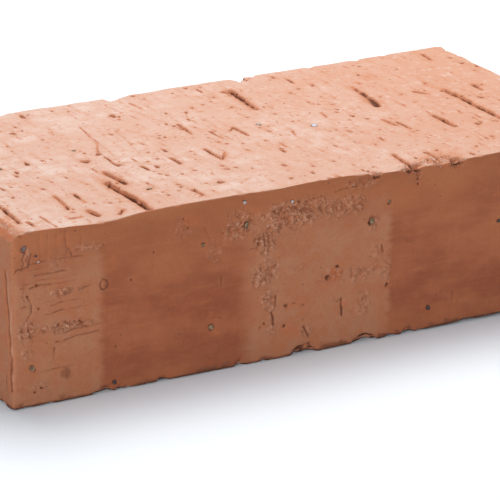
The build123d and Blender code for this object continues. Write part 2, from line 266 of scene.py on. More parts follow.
class Relief:
    """What is carved into one flat face: maps over the face, in millimetres."""

    def __init__(self, low, high, seed, stain=0.2):
        self.stain = stain  # how warm the clay beside a groove is
        self.low = np.array(low, float)
        self.high = np.array(high, float)
        shape = ((self.high - self.low) / MAP_PITCH).round().astype(int) + 1
        self.random = np.random.default_rng(seed)
        self.us = self.low[0] + MAP_PITCH * np.arange(shape[0])
        self.vs = self.low[1] + MAP_PITCH * np.arange(shape[1])
        # The maps: depth pushes the face in; the hollow map is painted shade in pits, grooves, creases and
        # chips; torn marks torn skin; warm is orange-red stain; pale is paler clay with painted highlights
        self.depth, self.hollow_shade, self.torn, self.warm, self.pale = np.zeros((5, *shape))
        self.grit = self.noise(0.9, 0.9)
        self.crumb = self.noise(2.4, 2.4)
        self.sway = self.noise(5.0, 5.0)

    def noise(self, cell_u, cell_v):
        """Smooth noise of -1 to 1 over the face, with cells of the given size."""
        def spread(places, low, cell):
            steps = (places - low) / cell
            index = np.floor(steps).astype(int)
            share = steps - index
            return index, share * share * (3.0 - 2.0 * share)
        iu, fu = spread(self.us, self.low[0], cell_u)
        iv, fv = spread(self.vs, self.low[1], cell_v)
        grid = self.random.uniform(-1.0, 1.0, (iu[-1] + 2, iv[-1] + 2))
        rows = grid[iu] * (1.0 - fu)[:, None] + grid[iu + 1] * fu[:, None]
        return rows[:, iv] * (1.0 - fv) + rows[:, iv + 1] * fv

    def window(self, low_u, high_u, low_v, high_v):
        """The part of the maps inside a rectangle, with its coordinates."""
        a, b = np.searchsorted(self.us, [low_u, high_u])
        c, d = np.searchsorted(self.vs, [low_v, high_v])
        u, v = np.meshgrid(self.us[a:b], self.vs[c:d], indexing="ij")
        return (slice(a, b), slice(c, d)), u, v

    def groove(self, u0, v0, u1, v1, width, depth, tail=0.6):
        """A ploughed groove: steep on its left side, seen from its head, and sloped on its right, with
        painted shade in its floor and along the foot of its steep wall.
        """
        reach = 0.8 * width * max(1.0, tail) + 1.0
        area, u, v = self.window(
            min(u0, u1) - reach, max(u0, u1) + reach, min(v0, v1) - reach, max(v0, v1) + reach)
        run = math.hypot(u1 - u0, v1 - v0)
        du, dv = (u1 - u0) / run, (v1 - v0) / run
        along = ((u - u0) * du + (v - v0) * dv) / run
        strength = 1.0 + (tail - 1.0) * np.clip(along, 0.0, 1.0)
        half = 0.5 * width * strength**0.5 * (1.0 + 0.16 * self.crumb[area] + 0.06 * self.grit[area])
        bend = 0.42 * self.sway[area] + 0.16 * self.crumb[area]
        side = ((u - u0) * dv - (v - v0) * du + bend) / half
        beyond = np.maximum(np.maximum(-along, along - 1.0) * run, 0.0) / half
        ends = 1.0 - smoothstep(0.15, 1.05, beyond)
        slope = 1.0 - smoothstep(-0.4, 1.05, side)
        wall = slope * smoothstep(-1.05, -0.74, side) * ends
        lip = 0.08 * np.exp(-(((np.hypot(side, beyond) - 1.25) / 0.3) ** 2)) * min(1.0, depth)
        floor = depth * strength * (1.0 + 0.2 * self.grit[area] + 0.35 * self.crumb[area])
        self.depth[area] = np.maximum(self.depth[area], wall * floor) - lip
        # Painted shade: the groove's floor and the foot of its steep wall are darkened as if in shadow
        foot = np.exp(-(((side + 0.62) / 0.34) ** 2)) * ends
        shade = 0.42 * smoothstep(0.06, 0.45, wall) + foot * (0.55 + 0.35 * self.crumb[area])
        raise_to(self.hollow_shade, area, shade * np.clip(floor / 0.7, 0.0, 1.0))
        stain = self.stain * min(1.0, depth) * (1.0 - smoothstep(0.8, 2.4, np.hypot(side, beyond)))
        raise_to(self.warm, area, stain)

    def pit(self, u0, v0, half_u, half_v, depth, warm=0.5, gloom=1.0):
        """A pit with an uneven rim, painted shade in it, and a warm stain round it."""
        reach = 2.6 * max(half_u, half_v) + 0.8
        area, u, v = self.window(u0 - reach, u0 + reach, v0 - reach, v0 + reach)
        angle = np.arctan2(v - v0, u - u0)
        turn = self.random.uniform(0.0, 2.0 * math.pi, 2)
        rim = 1.0 + 0.24 * np.sin(2.0 * angle + turn[0]) + 0.18 * np.sin(3.0 * angle + turn[1])
        away = np.hypot((u - u0) / half_u, (v - v0) / half_v) / (rim + 0.15 * self.grit[area])
        wall = 1.0 - smoothstep(0.5, 1.06, away)
        raise_to(self.depth, area, wall * depth * (1.0 + 0.2 * self.grit[area]))
        # Painted shade in the pit, darkest in its core
        shade = 0.45 * (1.0 - smoothstep(0.85, 1.15, away)) + 0.75 * (1.0 - smoothstep(0.35, 0.85, away))
        raise_to(self.hollow_shade, area, gloom * shade * min(1.0, depth / 0.5))
        stain = warm * (1.0 - smoothstep(0.9, 2.3, away))
        raise_to(self.warm, area, stain)

    def crack(self, points, width, depth):
        """A groove along a line of points."""
        for (u0, v0), (u1, v1) in zip(points, points[1:]):
            self.groove(u0, v0, u1, v1, width, depth, tail=1.0)

    def patch(self, field, u0, v0, half_u, half_v, strength, edge=0.5):
        """A soft-edged, uneven patch in one of the maps."""
        area, u, v = self.window(
            u0 - 1.5 * half_u, u0 + 1.5 * half_u, v0 - 1.5 * half_v, v0 + 1.5 * half_v)
        away = np.hypot((u - u0) / half_u, (v - v0) / half_v)
        away = away + 0.28 * self.crumb[area] + 0.12 * self.grit[area]
        raise_to(getattr(self, field), area, strength * (1.0 - smoothstep(edge, 1.1, away)))

    def tear(self, cell, height):
        """Turns the torn map into relief: plucked hollows between raised crumbs, with painted shade in the
        hollows and creases and painted highlights on the crumbs.
        """
        coarse, fine = self.noise(1.3 * cell, cell), self.noise(0.7 * cell, 0.6 * cell)
        plucked = smoothstep(0.1, 0.4, 0.7 * coarse + 0.5 * fine)
        crumbs = smoothstep(0.06, 0.4, -0.55 * coarse - 0.6 * fine)
        crease = 1.0 - smoothstep(0.0, 0.2, np.abs(self.noise(cell, 0.9 * cell)))
        self.depth += self.torn * height * (0.7 * plucked + 0.6 * crease - 0.45 * crumbs)
        self.hollow_shade = np.maximum(self.hollow_shade, self.torn * (0.22 * plucked + 0.3 * crease))
        self.pale = np.maximum(self.pale, 0.5 * self.torn * crumbs)

    def settle(self, sink=0.35, slack=0.4, slope=0.9):
        """Sinks the face so that its crumbs stay inside the brick's box, less near an arris."""
        to_u = np.minimum(self.us - self.low[0], self.high[0] - self.us)
        to_v = np.minimum(self.vs - self.low[1], self.high[1] - self.vs)
        room = slack + slope * np.minimum(to_u[:, None], to_v[None, :])
        self.depth = np.minimum(self.depth + sink, room)

    def sample(self, field, u, v):
        """Bilinear values of one map at points on the face."""
        values = getattr(self, field)
        fu = np.clip((u - self.low[0]) / MAP_PITCH, 0.0, values.shape[0] - 1.001)
        fv = np.clip((v - self.low[1]) / MAP_PITCH, 0.0, values.shape[1] - 1.001)
        iu, iv = fu.astype(int), fv.astype(int)
        fu, fv = fu - iu, fv - iv
        low = values[iu, iv] * (1.0 - fu) + values[iu + 1, iv] * fu
        high = values[iu, iv + 1] * (1.0 - fu) + values[iu + 1, iv + 1] * fu
        return low * (1.0 - fv) + high * fv


# ==== The six faces ====
def scatter_pits(face, count, size_range, stretch=1.6):
    """Small pits all over a face, more small ones than large."""
    for _ in range(count):
        u, v = face.random.uniform(face.low + 2.0, face.high - 2.0)
        size = size_range[0] + (size_range[1] - size_range[0]) * face.random.random() ** 3
        length = size * face.random.uniform(0.8, stretch)
        face.pit(u, v, size, length, 0.9 * size, warm=face.random.uniform(0.1, 0.9))


def scatter_grooves(face, count, length_range, width_range):
    """Drag grooves all over a wire-cut bed, nearly all along +Y."""
    for _ in range(count):
        u, v = face.random.uniform(face.low + 3.0, face.high - 3.0)
        length = length_range[0] + (length_range[1] - length_range[0]) * face.random.random() ** 2
        width = face.random.uniform(*width_range)
        slant = face.random.normal(0.0, 0.07)
        depth = width * face.random.uniform(0.35, 0.7)
        end = max(v - length, face.low[1] + 0.5)
        face.groove(u, v, u + slant * length, end, width, depth, tail=face.random.uniform(0.3, 0.9))


def scatter_patches(face, field, count, half_u, half_v, strength):
    """Soft patches all over one map of a face."""
    for _ in range(count):
        u, v = face.random.uniform(face.low, face.high)
        face.patch(
            field, u, v, face.random.uniform(*half_u), face.random.uniform(*half_v),
            face.random.uniform(*strength), edge=0.1)


def drag_ripple(face):
    """The faint ripple that the cutting wire leaves along its way."""
    ripple = 0.05 * face.noise(3.0, 40.0) + 0.035 * face.noise(1.3, 18.0)
    face.depth += ripple + 0.16 * face.noise(22.0, 26.0)


def die_streaks(face):
    """The faint upright streaks and hand smears on a face that came through the die."""
    face.depth += 0.03 * face.noise(1.6, 40.0) + 0.12 * face.noise(24.0, 16.0)
    face.depth += 0.03 * face.noise(9.0, 1.4)


def make_upper_bed():
    face = Relief((-HALF[0], -HALF[1]), (HALF[0], HALF[1]), SEED, stain=0.9)
    for groove in GROOVES:
        face.groove(*groove)
    for pit in PITS:
        face.pit(*pit)
    scatter_pits(face, 700, (0.25, 0.8))
    scatter_grooves(face, 170, (1.2, 6.0), (0.35, 0.85))
    scatter_patches(face, "warm", 620, (0.6, 2.2), (0.35, 1.0), (0.5, 1.1))
    for x, y, half_x, half_y, depth in FRONT_ARRIS_PITS:
        face.pit(x, y, half_x, half_y, depth, warm=0.9, gloom=0.62)
    for patch in BED_PATCHES:
        face.patch(*patch)
    face.tear(0.95, 0.8)
    drag_ripple(face)
    return face


def make_lower_bed():
    face = Relief((-HALF[0], -HALF[1]), (HALF[0], HALF[1]), SEED + 1, stain=0.9)
    scatter_grooves(face, 46, (4.0, 26.0), (1.0, 3.0))
    scatter_grooves(face, 90, (1.5, 7.0), (0.4, 0.9))
    scatter_pits(face, 420, (0.3, 1.3))
    scatter_patches(face, "warm", 260, (0.8, 3.0), (0.8, 3.6), (0.2, 0.8))
    scatter_patches(face, "torn", 9, (2.0, 6.0), (2.0, 5.0), (0.4, 0.9))
    face.tear(0.95, 0.8)
    drag_ripple(face)
    return face


def make_front():
    face = Relief((-HALF[0], 0.0), (HALF[0], HEIGHT), SEED + 2)
    for patch in FRONT_TORN:
        face.patch("torn", *patch)
    for x0, z0, x1, z1, width, depth in FRONT_LINES:
        face.groove(x0, z0, x1, z1, width, depth, tail=0.8)
    for points, width, depth in FRONT_CRACKS:
        face.crack(points, width, depth)
    for pit in FRONT_PITS:
        face.pit(*pit)
    # A soft patch of painted shade low on the left of the front
    face.patch("hollow_shade", -104.4, 10.5, 2.9, 3.0, 0.36, edge=0.7)
    face.patch("pale", -119.6, 57.2, 1.6, 1.8, 0.6)
    for patch in FRONT_WARM:
        face.patch("warm", *patch, edge=0.2)
    face.patch("torn", 102.0, 33.0, 12.0, 5.0, 0.8)
    face.patch("torn", 98.0, 52.0, 9.0, 3.0, 0.7)
    scatter_pits(face, 60, (0.22, 0.5), stretch=1.2)
    face.tear(1.15, 0.75)
    die_streaks(face)
    return face


def make_side(low, high, seed, torn_count):
    """A die-skinned face that carries no feature of its own to follow."""
    face = Relief(low, high, seed)
    scatter_patches(face, "torn", torn_count, (3.0, 12.0), (1.5, 5.0), (0.4, 0.95))
    scatter_patches(face, "warm", torn_count, (2.0, 7.0), (1.5, 4.5), (0.3, 0.8))
    for _ in range(torn_count * 2):
        u, v = face.random.uniform(face.low + 4.0, face.high - 4.0)
        across = face.random.random() < 0.5
        run = face.random.uniform(3.0, 14.0)
        end = (u + run, v + 0.06 * run) if across else (u + 0.02 * run, max(v - run, 2.0))
        face.groove(u, v, *end, face.random.uniform(0.5, 0.9), face.random.uniform(0.2, 0.6))
    scatter_pits(face, 30, (0.25, 0.8), stretch=1.2)
    face.tear(1.15, 0.7)
    die_streaks(face)
    return face


def make_left_header():
    face = make_side((-HALF[1], 0.0), (HALF[1], HEIGHT), SEED + 4, 9)
    face.crack(CORNER_FOLD[::-1], 2.2, 1.5)
    # A painted highlight on the lip beside the crack, on its front-corner side
    for y, z in CORNER_FOLD:
        face.patch("pale", y - 1.9, z, 0.9, 4.0, 0.6)
    return face


# ==== The brick's mesh ====
AXES = {"x": 0, "y": 1, "z": 2}
BED_ARRIS_RADIUS = 1.0
UPRIGHT_RADIUS = 2.4
LEAST_RADIUS = 0.45
LOWER_ARRIS_SHARE = 0.6  # the radius of the lower bed's arrises, as a share of the upper's
SHARP_CORNER_SHARE = 0.2  # how much of its rounding the back right corner has


def box_lattice(pitch):
    """A closed grid of quads over the brick's box: points, centred, and the quads."""
    counts = np.maximum((2.0 * HALF / pitch).round().astype(int), 2)
    strides = np.array([(counts[1] + 1) * (counts[2] + 1), counts[2] + 1, 1])
    quads = []
    for axis, (a, b) in enumerate([(1, 2), (2, 0), (0, 1)]):
        grid_a, grid_b = np.meshgrid(np.arange(counts[a]), np.arange(counts[b]), indexing="ij")
        start = grid_a.ravel() * strides[a] + grid_b.ravel() * strides[b]
        ring = [start, start + strides[a], start + strides[a] + strides[b], start + strides[b]]
        quads.append(np.stack(ring[::-1], 1))
        quads.append(np.stack(ring, 1) + counts[axis] * strides[axis])
    quads = np.concatenate(quads)
    keys, flat = np.unique(quads.ravel(), return_inverse=True)
    index = np.stack([keys // strides[0], keys // strides[1] % (counts[1] + 1), keys % strides[1]], 1)
    return index * (2.0 * HALF / counts) - HALF, flat.reshape(-1, 4)


def round_arrises(points):
    """Rounds the box's arrises, and gives the outward normals of the rounded box."""
    near_upright = (HALF[0] - abs(points[:, 0])) + (HALF[1] - abs(points[:, 1]))
    radius = BED_ARRIS_RADIUS * (1.0 + 0.45 * wobble(points, 9.0, SEED + 10))
    radius *= np.where(points[:, 2] < 0.0, LOWER_ARRIS_SHARE, 1.0)
    upright = 1.0 - smoothstep(3.0, 7.0, near_upright)
    from_bed = smoothstep(0.0, 6.0, HALF[2] - abs(points[:, 2]))
    worn = np.where(points[:, 0] + points[:, 1] > HALF[1], SHARP_CORNER_SHARE, 1.0)
    radius += (UPRIGHT_RADIUS - BED_ARRIS_RADIUS) * upright * from_bed * worn
    radius = np.maximum(radius, LEAST_RADIUS)[:, None]
    core = np.clip(points, radius - HALF, HALF - radius)
    normals = points - core
    normals /= np.linalg.norm(normals, axis=1)[:, None]
    return core + radius * normals, normals


def carve_faces(points, normals, faces):
    """Pushes the surface in by each face's relief, and reads the relief's maps."""
    fields = ("hollow_shade", "torn", "warm", "pale")
    marks = {field: np.zeros(len(points)) for field in fields}
    carved = points.copy()
    for face, axis, side, (a, b) in faces:
        weight = smoothstep(0.3, 0.95, side * normals[:, axis])
        near = np.nonzero(weight > 0.0)[0]
        share = weight[near]
        offset = np.array([0.0, 0.0, HALF[2]])
        u, v = points[near, a] + offset[a], points[near, b] + offset[b]
        carved[near, axis] -= side * share * face.sample("depth", u, v)
        for field in fields:
            raise_to(marks[field], near, share * face.sample(field, u, v))
    return carved, marks


def nicks(random, low, high):
    """Small chips scattered along an arris, in the same terms as the chips listed above."""
    centres = random.uniform(low, high, int((high - low) / 11.0))
    lengths = random.uniform(0.8, 2.6, len(centres))
    return [(centre, length, 0.4 * length) for centre, length in zip(centres, lengths)]


def chip_arrises(points, marks):
    """Cuts the worn bevel and the chips of all twelve arrises."""
    random = np.random.default_rng(SEED + 22)
    rough = wobble(points, 2.6, SEED + 20)
    crumb = wobble(points, 1.0, SEED + 21)
    for (first, second), sign_a, sign_b in product(("yz", "xz", "xy"), (-1, 1), (-1, 1)):
        a, b = AXES[first], AXES[second]
        name = (first + "-+"[sign_a > 0], second + "-+"[sign_b > 0])
        depth = HALF[a] - sign_a * points[:, a] + (HALF[b] - sign_b * points[:, b])
        depth *= 0.5**0.5
        near = np.nonzero(depth < 6.0)[0]
        place = points[near, 3 - a - b] + (HALF[2] if second == "y" else 0.0)
        cut = 0.22 + 0.16 * rough[near]
        chip, fresh = np.zeros((2, len(near)))
        for centre, half_length, chip_depth in CHIPS[name] + nicks(random, place.min(), place.max()):
            share = 1.0 - (np.abs(place - centre) / half_length) ** 2.2
            scoop = chip_depth * np.clip(share, 0.0, 1.0) ** 0.8
            fresh = np.where(scoop > chip, np.clip(2.0 - half_length / 6.0, 0.0, 1.0), fresh)
            chip = np.maximum(chip, scoop)
        cut += chip * (1.0 + fresh * (0.26 * rough[near] + 0.16 * crumb[near]))
        amount = np.maximum(cut - depth[near], 0.0)
        points[near, a] -= sign_a * amount * 0.5**0.5
        points[near, b] -= sign_b * amount * 0.5**0.5
        raise_to(marks["torn"], near, 0.8 * fresh * smoothstep(0.2, 0.8, amount))
        raise_to(marks["warm"], near, 0.6 * smoothstep(0.1, 0.7, amount))
        # Painted shade in the deeper fresh chips
        raise_to(marks["hollow_shade"], near, fresh * smoothstep(0.6, 2.2, amount))


def warp(points):
    """The brick's slight bends: clay sags and shrinks unevenly before it is fired."""
    height = (points[:, 2] + HALF[2]) / HEIGHT
    rise = np.interp(points[:, 0], *np.array(FRONT_EDGE_RISE, float).T)
    lift = np.interp(points[:, 0], *np.array(FRONT_EDGE_LIFT, float).T)
    from_front = (points[:, 1] + HALF[1]) / WIDTH
    rise = (rise - FRONT_SINK) * np.exp(-from_front / RISE_REACH) * smoothstep(0.2, 1.0, height)
    lift = lift * np.exp(-from_front / LIFT_REACH) * (1.0 - smoothstep(0.0, 0.35, height))
    points[:, 2] += rise + lift
    points[:, 1] += SIDE_BEND * wobble(points, 60.0, SEED + 30) * (1.0 - abs(points[:, 1]) / HALF[1] * 0.2)
    limit = HALF - 0.02
    room = limit - np.abs(points)
    points[:] = np.sign(points) * (limit - SOFT_STOP * np.logaddexp(0.0, room / SOFT_STOP))


def seat_grains(faces):
    """Opens a rough socket in the faces round each mineral grain."""
    for low, high in GRAIN_BOXES.values():
        centre, half = (low + high) / 2.0, (high - low) / 2.0
        for face, axis, side, (a, b) in faces:
            gap = BRICK_HIGH[axis] - high[axis] if side > 0 else low[axis] - BRICK_LOW[axis]
            if gap < 0.1:
                face.pit(centre[a], centre[b], 1.12 * half[a], 1.12 * half[b], 1.4 * half[axis], warm=0.4)


def mesh_from(name, points, faces):
    """A mesh from arrays of points in millimetres and faces of one size."""
    mesh = bpy.data.meshes.new(name)
    mesh.vertices.add(len(points))
    mesh.vertices.foreach_set("co", (points * MILLIMETRE).ravel().astype(np.float32))
    mesh.loops.add(faces.size)
    mesh.loops.foreach_set("vertex_index", faces.ravel().astype(np.int32))
    mesh.polygons.add(len(faces))
    mesh.polygons.foreach_set("loop_start", np.arange(0, faces.size, faces.shape[1], dtype=np.int32))
    mesh.update(calc_edges=True)
    mesh.validate()
    return mesh


def add_object(name, mesh, material):
    thing = bpy.data.objects.new(name, mesh)
    bpy.context.scene.collection.objects.link(thing)
    mesh.materials.append(material)
    mesh.polygons.foreach_set("use_smooth", np.ones(len(mesh.polygons), bool))
    return thing


def apply_modifiers(thing):
    """Replaces an object's mesh by what its modifiers make of it."""
    depsgraph = bpy.context.evaluated_depsgraph_get()
    old = thing.data
    thing.data = bpy.data.meshes.new_from_object(thing.evaluated_get(depsgraph), depsgraph=depsgraph)
    thing.modifiers.clear()
    thing.data.name = old.name
    bpy.data.meshes.remove(old)


def make_brick(material):
    bed, stretcher, header = (0, 1), (0, 2), (1, 2)
    faces = [
        (make_upper_bed(), 2, 1, bed),
        (make_lower_bed(), 2, -1, bed),
        (make_front(), 1, -1, stretcher),
        (make_side((-HALF[0], 0.0), (HALF[0], HEIGHT), SEED + 3, 22), 1, 1, stretcher),
        (make_left_header(), 0, -1, header),
        (make_side((-HALF[1], 0.0), (HALF[1], HEIGHT), SEED + 5, 10), 0, 1, header),
    ]
    seat_grains(faces)
    for face, *_ in faces:
        face.settle()
    points, quads = box_lattice(LATTICE_PITCH)
    points, normals = round_arrises(points)
    beds = smoothstep(0.35, 0.8, np.abs(normals[:, 2]))
    ends = smoothstep(0.5, 0.9, np.abs(normals[:, 0]))
    points, marks = carve_faces(points, normals, faces)
    chip_arrises(points, marks)
    # Painted contact shadow: the clay darkens within about a millimetre and a half of the lower bed, all
    # round the foot of the brick
    above = points[:, 2] + HALF[2] + 0.25 * wobble(points, 3.0, SEED + 23)
    marks["hollow_shade"] = np.maximum(marks["hollow_shade"], 1.0 - smoothstep(0.5, 1.4, above))
    warp(points)
    points[:, 2] += HALF[2]
    mesh = mesh_from("brick", points, quads)
    marks.update(bed=beds, end=ends)
    for name, values in marks.items():
        attribute = mesh.attributes.new(name, "FLOAT", "POINT")
        attribute.data.foreach_set("value", values.astype(np.float32))
    brick = add_object("brick", mesh, material)
    thin = brick.modifiers.new("thin", "DECIMATE")
    thin.ratio = TRIANGLE_BUDGET / (2.0 * len(quads))
    apply_modifiers(brick)
    return brick


# ==== The grains ====
GRAIN_INSET = 0.03  # how far a grain stays inside the box of its CAD node
GRAIN_BOXES = {
    node: tuple(np.array(corner) * 1000.0 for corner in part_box(node))
    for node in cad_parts
    if "grain" in node
}


def ball(rings=10, around=16):
    """A closed ball of radius 1 as points and triangles."""
    points = [(0.0, 0.0, 1.0)]
    for ring in range(1, rings):
        tilt = math.pi * ring / rings
        for step in range(around):
            turn = 2.0 * math.pi * (step + 0.5 * (ring % 2)) / around
            points.append((math.sin(tilt) * math.cos(turn), math.sin(tilt) * math.sin(turn), math.cos(tilt)))
    points.append((0.0, 0.0, -1.0))
    triangles = []
    for step in range(around):
        after = (step + 1) % around
        triangles.append((0, 1 + step, 1 + after))
        last = 1 + (rings - 2) * around
        triangles.append((len(points) - 1, last + after, last + step))
        for ring in range(rings - 2):
            upper, lower = 1 + ring * around, 1 + (ring + 1) * around
            triangles.append((upper + step, lower + step, lower + after))
            triangles.append((upper + step, lower + after, upper + after))
    return np.array(points), np.array(triangles)


def make_grain(node, material, seed):
    """A crushed mineral grain with broken facets, that all but fills the box of its CAD node."""
    low, high = GRAIN_BOXES[node]
    random = np.random.default_rng(seed)
    points, triangles = ball()
    facets = random.normal(size=(14, 3))
    facets /= np.linalg.norm(facets, axis=1)[:, None]
    for facet, reach in zip(facets, random.uniform(0.62, 0.9, len(facets))):
        points -= np.maximum(points @ facet - reach, 0.0)[:, None] * facet
    points += 0.035 * wobble(points, 0.4, seed)[:, None] * points
    points /= np.abs(points).max(axis=0)
    centre, half = (low + high) / 2.0, (high - low) / 2.0 - GRAIN_INSET
    name = node + "_stone"
    return add_object(name, mesh_from(name, centre + points * half, triangles), material)


# ==== Materials ====
class Graph:
    """A material's nodes, with a short call for each kind used here."""

    def __init__(self, name):
        self.material = bpy.data.materials.new(name)
        self.material.use_nodes = True
        self.nodes = self.material.node_tree.nodes
        self.place = self.mapped(self.node("TexCoord", {}, "Object"), (1.0 / MILLIMETRE,) * 3)

    def fill(self, node, inputs):
        """Sets a node's inputs: a socket is linked, and anything else is a value."""
        for name, value in inputs.items():
            if isinstance(value, bpy.types.NodeSocket):
                self.material.node_tree.links.new(value, node.inputs[name])
            else:
                node.inputs[name].default_value = value

    def node(self, kind, inputs, output, **settings):
        """One output of a new node."""
        node = self.nodes.new("ShaderNode" + kind)
        for name, value in settings.items():
            setattr(node, name, value)
        self.fill(node, inputs)
        return node.outputs[output]

    def mapped(self, vector, scale, move=(0.0, 0.0, 0.0)):
        return self.node("Mapping", {"Vector": vector, "Location": move, "Scale": scale}, "Vector")

    def attribute(self, name):
        return self.node("Attribute", {}, "Fac", attribute_name=name)

    def axis(self, name):
        return self.node("SeparateXYZ", {0: self.place}, name)

    def noise(self, size, detail=3.0, roughness=0.55, stretch=(1.0, 1.0, 1.0), distortion=0.0, shift=0.0):
        """Noise of 0 to 1 whose features are about size millimetres, longer where stretched."""
        scale = tuple(1.0 / (size * share) for share in stretch)
        inputs = {
            "Vector": self.mapped(self.place, scale, (shift, 1.7 * shift, -0.6 * shift)),
            "Scale": 1.0, "Detail": detail, "Roughness": roughness, "Distortion": distortion,
        }
        return self.node("TexNoise", inputs, "Fac")

    def cells(self, size, shift=0.0, stretch=(1.0, 1.0, 1.0)):
        """Distance to the nearest of scattered points about size millimetres apart."""
        scale = tuple(1.0 / (size * share) for share in stretch)
        vector = self.mapped(self.place, scale, (shift, -shift, 0.5 * shift))
        return self.node("TexVoronoi", {"Vector": vector, "Scale": 1.0}, "Distance")

    def math(self, operation, first, second=0.0, clamp=False):
        return self.node("Math", {0: first, 1: second}, 0, operation=operation, use_clamp=clamp)

    def times(self, first, second, clamp=False):
        return self.math("MULTIPLY", first, second, clamp)

    def step(self, value, low, high):
        """0 at low and 1 at high, smooth between; low may be the larger."""
        limits = (low, high, 0.0, 1.0) if low < high else (high, low, 1.0, 0.0)
        inputs = dict(zip(("From Min", "From Max", "To Min", "To Max"), limits), Value=value)
        return self.node("MapRange", inputs, "Result", interpolation_type="SMOOTHSTEP")

    def mix(self, share, first, second):
        """The first colour at a share of 0, and the second at 1."""
        return self.node("Mix", {"Factor": share, "A": first, "B": second}, "Result", data_type="RGBA")

    def tint(self, base, mask, strength, over):
        """The base with another colour laid over it where the mask is 1."""
        return self.mix(self.times(mask, strength), base, over)

    def bump(self, height, strength, distance, normal=None):
        inputs = {"Height": height, "Strength": strength, "Distance": distance * MILLIMETRE}
        if normal is not None:
            inputs["Normal"] = normal
        return self.node("Bump", inputs, "Normal")

    def surface(self, base, roughness, specular, normal=None):
        """Finishes the material."""
        inputs = {"Base Color": base, "Roughness": roughness, "Specular IOR Level": specular}
        if normal is not None:
            inputs["Normal"] = normal
        self.fill(self.nodes["Principled BSDF"], inputs)
        return self.material


def colour(red, green, blue):
    """A linear colour."""
    return (red, green, blue, 1.0)


# Fired clay, as linear colours. The beds' colours are paler than the sides': partly the wire-cut clay's own
# tone, partly painted light, with the beds painted as if lit from above and the sides as if in shade
BED_CLAY = colour(0.51, 0.332, 0.258)
BED_PALE = colour(0.56, 0.43, 0.367)
BED_ROSY = colour(0.505, 0.302, 0.224)
BED_WARM = colour(0.475, 0.25, 0.165)
BED_EMBER = colour(0.44, 0.165, 0.078)
# painted shade colour for hollows in the beds
BED_HOLLOW_SHADE = colour(0.43, 0.165, 0.085)
SKIN = colour(0.36, 0.117, 0.051)
SKIN_DARK = colour(0.25, 0.069, 0.031)
SKIN_TAN = colour(0.40, 0.147, 0.058)
KISS = colour(0.40, 0.176, 0.093)
KISS_ROSY = colour(0.40, 0.152, 0.072)
SKIN_EMBER = colour(0.40, 0.112, 0.042)
# painted shade colour for hollows in the sides
SKIN_HOLLOW_SHADE = colour(0.22, 0.075, 0.037)
# painted highlight colour for crumbs and lips on the sides
CRUMB_HIGHLIGHT = colour(0.50, 0.245, 0.155)
# the darkest painted shade, in the cores of pits, grooves and chips
DEEP_SHADE = colour(0.13, 0.042, 0.02)
SOOT = colour(0.10, 0.055, 0.042)

# Where bricks laid across this one in the kiln kept its long sides from the flame: low and high
# border along the length, and how soft each border is
KISS_MARKS = [(-140.0, -90.4, 1.0, 2.2), (-32.0, 27.0, 5.0, 1.6), (88.0, 140.0, 3.0, 1.0)]


def paint_bed(graph):
    """The wire-cut beds: pale clay, painted paler still as if lit from above, with rosy clouds, ember streaks
    and fine dark specks.
    """
    base = graph.mix(graph.step(graph.noise(26.0, 2.0), 0.36, 0.66), BED_ROSY, BED_PALE)
    cloud = graph.step(graph.noise(6.0, 4.0, stretch=(1.6, 1.0, 1.0)), 0.38, 0.62)
    base = graph.mix(cloud, base, BED_CLAY)
    base = graph.tint(base, graph.step(graph.axis("X"), -40.0, 125.0), 0.85, BED_WARM)
    bloom = graph.step(graph.noise(3.4, 3.0, 0.6, shift=51.0), 0.54, 0.70)
    base = graph.tint(base, bloom, 0.5, BED_PALE)
    streak = graph.step(graph.noise(2.2, 4.0, 0.62, stretch=(1.4, 0.9, 1.0), shift=11.0), 0.56, 0.70)
    base = graph.tint(base, streak, 0.66, BED_EMBER)
    drag = graph.step(graph.noise(0.8, 3.0, 0.6, stretch=(1.0, 12.0, 1.0), shift=4.0), 0.56, 0.72)
    base = graph.tint(base, drag, 0.18, BED_EMBER)
    fray = graph.times(graph.noise(1.6, 2.0, shift=6.0), 0.5)
    fleck = graph.math("ADD", graph.cells(3.0, 21.0, (1.7, 0.8, 1.0)), fray)
    base = graph.tint(base, graph.step(fleck, 0.42, 0.26), 0.8, BED_EMBER)
    fine = graph.noise(0.55, 3.0, 0.7, shift=31.0)
    return graph.mix(graph.step(fine, 0.32, 0.62), graph.mix(0.35, base, BED_EMBER), base)


def kiss_mask(graph):
    """1 inside the paler bands of the long sides, and 0 between them."""
    smear = graph.times(graph.noise(4.0, 4.0, 0.6, stretch=(3.0, 3.0, 0.7)), 7.0)
    place = graph.math("ADD", graph.axis("X"), graph.math("SUBTRACT", smear, 3.5))
    total = 0.0
    for low, high, low_soft, high_soft in KISS_MARKS:
        rise = graph.step(place, low - low_soft, low + low_soft)
        fall = graph.step(place, high + high_soft, high - high_soft)
        total = graph.math("MAXIMUM", total, graph.times(rise, fall))
    return total


